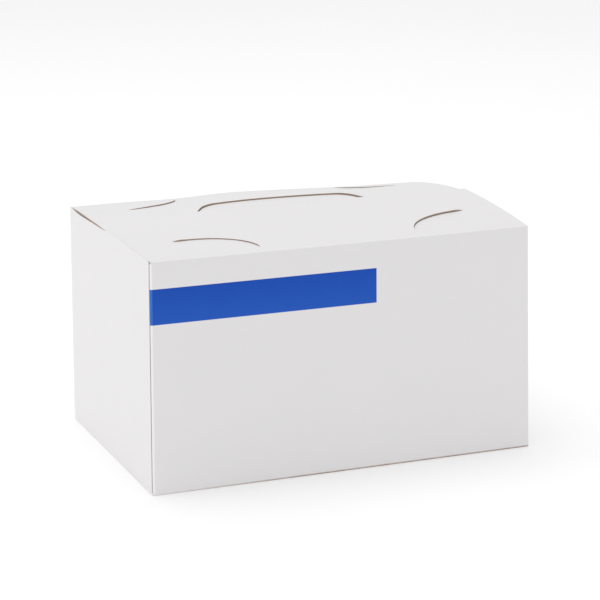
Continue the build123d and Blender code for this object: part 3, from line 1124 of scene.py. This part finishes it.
@dataclass
class CartonWalls:
    """The four walls and the glue flap, folded from one strip."""

    roof: RoofShape
    wardrobe: Wardrobe
    foot: float
    long_top: float
    end_top: float

    def path(self) -> Iterator[tuple[Vector, tuple[float, float] | None]]:
        """Runs of the outer face and the centres of the folds after them, from the glue flap to the raw edge."""
        low, high, radius = self.roof.low, self.roof.high, FOLD_RADIUS
        seam = low.x + BOARD + SEAM_GLUE
        runs = (
            (0, radius - SEAM_WIDTH),
            (high.x - seam - 2 * radius, 0),
            (0, high.y - low.y - 2 * radius),
            (low.x - high.x + 2 * radius, 0),
            (0, low.y - high.y + radius + SEAM_EDGE_SETBACK),
        )
        front, rear, right = low.y + radius, high.y - radius, high.x - radius
        folds = ((seam + radius, front), (right, front), (right, rear), (low.x + radius, rear), None)
        for run, fold in zip(runs, folds):
            yield Vector(run), fold

    def start_line(self) -> Object:
        """Upright line at the glue flap's free edge."""
        strip = unit_grid("carton_wall_strip", 1, round((self.long_top - self.foot) / PANEL_CELL))
        pick(strip, lambda v: v.x > 0)
        bpy.ops.mesh.delete(type="VERT")
        close()
        x = self.roof.low.x + BOARD + SEAM_GLUE
        y = self.roof.low.y + SEAM_WIDTH
        for vertex in strip.data.vertices:
            share = vertex.co.y + 0.5
            vertex.co = (x, y, self.foot + share * (self.long_top - self.foot))
        return strip

    def fold(self, strip: Object) -> None:
        """Draws the line along the path, panel by panel and fold by fold."""
        edit(strip)
        bpy.ops.mesh.select_mode(type="EDGE")
        for run, centre in self.path():
            steps = round(run.length / PANEL_CELL)
            edge = run.normalized() * FOLD_GUARD
            step = (run - 2 * edge) / steps
            for move in (edge, *[step] * steps, edge):
                bpy.ops.mesh.extrude_region_move(TRANSFORM_OT_translate={"value": (*move, 0)})
            if centre:
                bpy.ops.mesh.spin(steps=FOLD_STEPS, angle=-math.pi / 2, center=(*centre, 0), axis=(0, 0, 1))
        weld(strip)

    def belly(self, strip: Object) -> None:
        """Lets the panels swell a little and lowers the end walls' tops to their dust flaps."""
        low, high = self.roof.low, self.roof.high
        middle = (self.foot + self.long_top) / 2
        for vertex in strip.data.vertices:
            x, y, z = vertex.co
            top = self.end_top if x > high.x - BOARD / 2 else self.long_top
            top += self.roof.edge_lift(x, y)
            if x < low.x + BOARD / 2:
                top = self.roof.left_top(y)
            z = self.foot + (z - self.foot) * (top - self.foot) / (self.long_top - self.foot)
            swell = WALL_BELLY * math.cos(math.pi * (z - middle) / (self.long_top - self.foot))
            across, along = math.cos(math.pi * x / (high.x - low.x)), math.cos(math.pi * y / (high.y - low.y))
            if abs(y) > high.y - FOLD_RADIUS / 2:
                y += math.copysign(swell * across, y) * (y > 0)
            if abs(x) > high.x - BOARD / 2:
                x -= math.copysign(swell * along * END_BELLY, x)
            vertex.co = (self.roof.lean(x, z), y, z)

    def squeeze_seam(self, strip: Object) -> None:
        """Squeezes the left wall's raw edge, beside which the front fold bulges out."""
        roof = self.roof
        reshape(strip, lambda x, y, z: (x - roof.squeeze(2 * x - roof.lean(x, z), y), y, z))

    def dress(self, strip: Object) -> None:
        """Thickens the strip and gives its outside, inside and raw edges their materials."""
        for material in (self.wardrobe.printed, self.wardrobe.kraft, self.wardrobe.seam_edge):
            strip.data.materials.append(material)
        modify(
            strip, "SOLIDIFY", thickness=BOARD, offset=-1.0, use_even_offset=True,
            material_offset=Side.INSIDE, material_offset_rim=Side.RAW,
        )

    def whiten_folds(self, strip: Object) -> None:
        """Keeps the top and foot of the strip white, where the flaps fold on."""
        for face in strip.data.polygons:
            if face.material_index == Side.RAW and abs(face.normal.z) > MOSTLY:
                face.material_index = Side.COATED

    def build(self) -> Object:
        """Makes the walls in their node's place."""
        strip = self.start_line()
        self.fold(strip)
        self.belly(strip)
        self.dress(strip)
        self.squeeze_seam(strip)
        self.whiten_folds(strip)
        smooth(strip, STRIP_CREASE)
        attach(strip, "carton")
        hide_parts("carton_walls")
        return strip


@dataclass
class JarSet:
    """All jars with their caps, each modelled once and copied."""

    wardrobe: Wardrobe

    def places(self) -> Iterator[tuple[str, Vector, Vector]]:
        """Every jar's name and its node's box."""
        for node in frame["nodes"]:
            if node.startswith("jar_"):
                yield node.removeprefix("jar_"), *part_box(node)

    def revolve(self, name: str, profile: Outline, steps: int) -> Object:
        """Round piece from half its section.

        Args:
            name: The piece's name.
            profile: Radius and height of each corner, closed on the axis or on itself.
            steps: Sides of the round.

        Returns:
            The closed piece about the Z axis.
        """
        clear_selection()
        bpy.ops.mesh.primitive_circle_add(vertices=len(profile), fill_type="NOTHING")
        piece = name_piece(bpy.context.object, name)
        for vertex, (radius, height) in zip(piece.data.vertices, profile):
            vertex.co = (radius, 0, height)
        edit(piece)
        bpy.ops.mesh.spin(steps=steps, angle=2 * math.pi, center=(0, 0, 0), axis=(0, 0, 1))
        weld(piece, 2 * WELD)
        return piece

    def jar(self, radius: float, height: float) -> Object:
        """Straight jar with a recessed foot and a rounded brim."""
        inner, foot, floor, heel, brim = radius - JAR_WALL, JAR_FOOT, JAR_FLOOR, JAR_HEEL, JAR_BRIM
        profile = [
            (0, foot), (inner - heel, foot), (inner - 0.6 * heel, 0.2 * MM), (inner, 0),
            (radius - heel, 0), (radius - 0.3 * heel, 0.25 * MM), (radius, heel), (radius, height - brim),
            (radius - brim, height), (inner + brim, height), (inner, height - brim),
            (inner, floor + MM), (inner - 0.3 * MM, floor + 0.3 * MM), (inner - MM, floor), (0, floor),
        ]
        return self.revolve("jar_pattern", profile, JAR_SIDES)

    def cap(self, low: float, high: float, radius: float, bore: float) -> Object:
        """Ribbed cap with a raised ring round its top and a plug below it."""
        under, plug, edge = high - CAP_PLATE, bore - JAR_WALL - 2 * CAP_OVER_JAR, MM
        ring = radius - edge - CAP_TOP_RING
        profile = [
            (0, under - CAP_PLUG), (plug - CAP_PLUG_CHAMFER, under - CAP_PLUG),
            (plug, under - CAP_PLUG + CAP_PLUG_CHAMFER),
            (plug, under), (bore, under), (bore, low), (radius - 0.2 * MM, low), (radius, low + 0.2 * MM),
            (radius, low + CAP_RIM_HEIGHT), (radius, low + CAP_RIM_HEIGHT + 0.1 * MM),
            (radius, high - edge), (radius - 0.3 * edge, high - 0.3 * edge), (radius - edge, high),
            (ring, high), (ring - CAP_RING_DEPTH, high - CAP_RING_DEPTH), (0, high - CAP_RING_DEPTH),
        ]
        cap = self.revolve("cap_pattern", profile, 2 * CAP_RIBS)
        self.rib(cap, low + CAP_RIM_HEIGHT + 0.05 * MM, high - edge / 2, radius)
        return cap

    def rib(self, cap: Object, low: float, high: float, radius: float) -> None:
        """Pushes every second line of the skirt inwards."""
        share = 1 - CAP_RIB_DEPTH / radius
        for vertex in cap.data.vertices:
            x, y, z = vertex.co
            turn = round(math.atan2(y, x) * CAP_RIBS / math.pi) % 2
            if turn and low < z < high and math.hypot(x, y) > radius - 10 * TINY:
                vertex.co = (x * share, y * share, z)

    def build(self) -> int:
        """Makes every jar and cap, and returns how many pieces there are."""
        _, low, high = next(self.places())
        cap_low, cap_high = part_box("cap_lower_1_1")
        radius, foot = (high.x - low.x) / 2, low.z
        cap_radius = (cap_high.x - cap_low.x) / 2
        jar = self.jar(radius, high.z - foot)
        cap = self.cap(cap_low.z - foot, cap_high.z - foot, cap_radius, radius + CAP_OVER_JAR)
        for pattern, material in ((jar, self.wardrobe.jar), (cap, self.wardrobe.cap)):
            pattern.data.materials.append(material)
            smooth(pattern, JAR_CREASE)
        made = 0
        for name, low, high in self.places():
            place = Vector(((low.x + high.x) / 2, (low.y + high.y) / 2, low.z))
            for pattern, kind, body in ((jar, "jar", "carton"), (cap, "cap", f"cap_{name}")):
                piece = link_new(f"{kind}_shell_{name}", pattern.data.copy())
                piece.data.transform(Matrix.Translation(place))
                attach(piece, body)
                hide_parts(f"{kind}_{name}")
                made += 1
        for pattern in (jar, cap):
            remove(pattern)
        return made


@dataclass
class BaseFlap:
    """One of the four glued bottom flaps, with a tight fold that closes on its neighbours at the corners."""

    wardrobe: Wardrobe
    node: str
    outside: Outside
    fold: float = 1.0 * MM
    tightness: float = 1.33
    outer: float = 0.9
    corner: float = 0.3 * MM

    def tighten(self, board: Object, high: Vector, side: int) -> None:
        """Presses the outer face of the fold towards its corner.

        Args:
            board: The flap.
            high: The carton's high corner.
            side: Axis across the fold, 0 or 1.
        """
        for vertex in board.data.vertices:
            place = vertex.co
            out, down = abs(place[side]) - high[side] + self.fold, self.fold - place.z
            away = math.hypot(out, down)
            if out > 0 and down > 0 and away > self.fold * self.outer:
                stretch = min(self.fold / max(out, down), away / self.fold * self.tightness)
                place[side] = math.copysign(high[side] - self.fold + out * stretch, place[side])
                place.z = self.fold - down * stretch

    def close_corners(self, board: Object, high: Vector, side: int) -> None:
        """Draws the fold's two ends out to the carton's corners, mitred."""
        end = max(abs(vertex.co[1 - side]) for vertex in board.data.vertices)
        pick(board, lambda v: abs(v[1 - side]) > end - TINY, "FACE")
        bpy.ops.mesh.extrude_region_move(TRANSFORM_OT_translate={"value": (0, 0, 0)})
        close()
        for vertex in board.data.vertices:
            if vertex.select:
                place = vertex.co
                share = clamp(1 - (high[side] - abs(place[side])) / self.fold)
                place[side] = math.copysign(abs(place[side]) - self.corner * share, place[side])
                reach = end + (high[1 - side] - self.corner - end) * share
                place[1 - side] = math.copysign(reach, place[1 - side])

    def build(self) -> Object:
        """Makes the flap from a copy of its solid's mesh."""
        high = CAD_BOX[1]
        side = 1 if self.outside.value[1] else 0
        board = link_new(self.node + "_board", frame["nodes"][self.node].data.copy())
        board.data.materials.clear()
        board.data.materials.append(self.wardrobe.folded[self.outside])
        weld(board)
        self.tighten(board, high, side)
        self.close_corners(board, high, side)
        smooth(board, STRIP_CREASE)
        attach(board, "carton")
        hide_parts(self.node)
        return board


@dataclass
class PlainNodes:
    """The nodes whose solids are right as they are and only take a finish."""

    wardrobe: Wardrobe

    def build(self) -> None:
        """Gives each of them its material."""
        for node, material in (("layer_pad", self.wardrobe.pad), ("formalin_fills", self.wardrobe.liquid)):
            for slot in frame["nodes"][node].material_slots:
                slot.material = material


@dataclass(frozen=True)
class Softbox:
    """Square soft light aimed at the carton."""

    name: str
    place: tuple[float, float, float]
    side: float
    power: float

    def build(self) -> None:
        """Hangs the light in its place."""
        lamp = link_new(self.name, bpy.data.lights.new(self.name, "AREA"))
        lamp.data.size = self.side
        lamp.data.energy = self.power
        lamp.location = self.place
        lamp.rotation_euler = (Vector(LAMP_AIM) - lamp.location).to_track_quat("-Z", "Y").to_euler()


@dataclass
class Studio:
    """White sweep, soft lights and the camera of the photograph."""

    floor_side: float = 6.0
    floor_depth: float = 0.02 * MM
    floor_light: Colour = rgb(0.95, 0.95, 0.95)
    floor_dark: Colour = rgb(0.93, 0.93, 0.93)
    near: float = 0.01
    far: float = 20.0
    lamps: tuple[Softbox, ...] = (
        Softbox("left_softbox", (-1.8, 0.25, 0.45), 0.8, 2.5),
        Softbox("top_softbox", (-0.2, 0.3, 1.6), 1.2, 6.0),
    )

    def floor(self) -> None:
        """Pale floor that isn't part of the object."""
        clear_selection()
        bpy.ops.mesh.primitive_plane_add(size=self.floor_side, location=(0, 0, -self.floor_depth))
        floor = name_piece(bpy.context.object, "studio_floor")
        bench = Bench("floor_white")
        shade = bench.blend(bench.noise(3.0, 1.0), self.floor_dark, self.floor_light)
        glow = {"Emission_Color": rgb(1, 1, 1), "Emission_Strength": FLOOR_GLOW}
        floor.data.materials.append(bench.surface(Base_Color=shade, Roughness=0.9, **glow))

    def world(self) -> None:
        """Even white surroundings."""
        world = bpy.data.worlds.new("white_room")
        world.use_nodes = True
        background = world.node_tree.nodes["Background"]
        background.inputs["Color"].default_value = rgb(1, 1, 1)
        background.inputs["Strength"].default_value = ROOM_LIGHT
        bpy.context.scene.world = world
        bpy.context.scene.view_settings.view_transform = "Standard"

    def camera(self) -> None:
        """Camera fitted to the photograph."""
        camera = link_new("photo_camera", bpy.data.cameras.new("photo_camera"))
        camera.data.sensor_width = SENSOR_WIDTH
        camera.data.lens = CAMERA_FOCAL_PX / PHOTO_SIDE_PX * SENSOR_WIDTH
        camera.data.shift_y = CAMERA_SHIFT_Y
        camera.data.clip_start, camera.data.clip_end = self.near, self.far
        turn = Matrix.Rotation(math.radians(CAMERA_HEADING), 4, "Z")
        turn @= Matrix.Rotation(math.radians(CAMERA_TILT), 4, "X")
        turn @= Matrix.Rotation(math.radians(CAMERA_ROLL), 4, "Z")
        camera.matrix_world = Matrix.Translation(CAMERA_PLACE) @ turn
        bpy.context.scene.camera = camera

    def build(self) -> None:
        """Sets up the floor, the lights and the camera."""
        self.floor()
        self.world()
        for lamp in self.lamps:
            lamp.build()
        self.camera()


def main() -> None:
    """Builds every sub-assembly in order."""
    logging.basicConfig(level=logging.INFO, format="%(name)s: %(message)s")
    low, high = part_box("carton_walls")
    wardrobe = Wardrobe()
    roof = RoofShape(low, high, hinge_height())
    end_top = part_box("left_dust_flap")[0].z
    parts = [
        CartonWalls(roof, wardrobe, low.z, roof.top - BOARD, end_top),
        RoofFlap(roof, wardrobe, "front_top_flap", "front_flap", True),
        RoofFlap(roof, wardrobe, "rear_top_flap", "rear_flap", False),
        DustFlap(roof, wardrobe, "left_dust_flap", "left_dust", Outside.LEFT_TOP),
        DustFlap(roof, wardrobe, "right_dust_flap", "right_dust", Outside.RIGHT_TOP),
        BaseFlap(wardrobe, "bottom_outer_flap", Outside.FRONT_BASE),
        BaseFlap(wardrobe, "bottom_inner_flap", Outside.REAR_BASE),
        BaseFlap(wardrobe, "bottom_left_flap", Outside.LEFT_BASE),
        BaseFlap(wardrobe, "bottom_right_flap", Outside.RIGHT_BASE),
        SeamGlue(roof, wardrobe),
    ]
    for part in parts:
        piece = part.build()
        LOG.info("%s: %d faces", piece.name, len(piece.data.polygons))
    LOG.info("jars and caps: %d pieces", JarSet(wardrobe).build())
    PlainNodes(wardrobe).build()
    Studio().build()


if __name__ == "__main__":
    main()
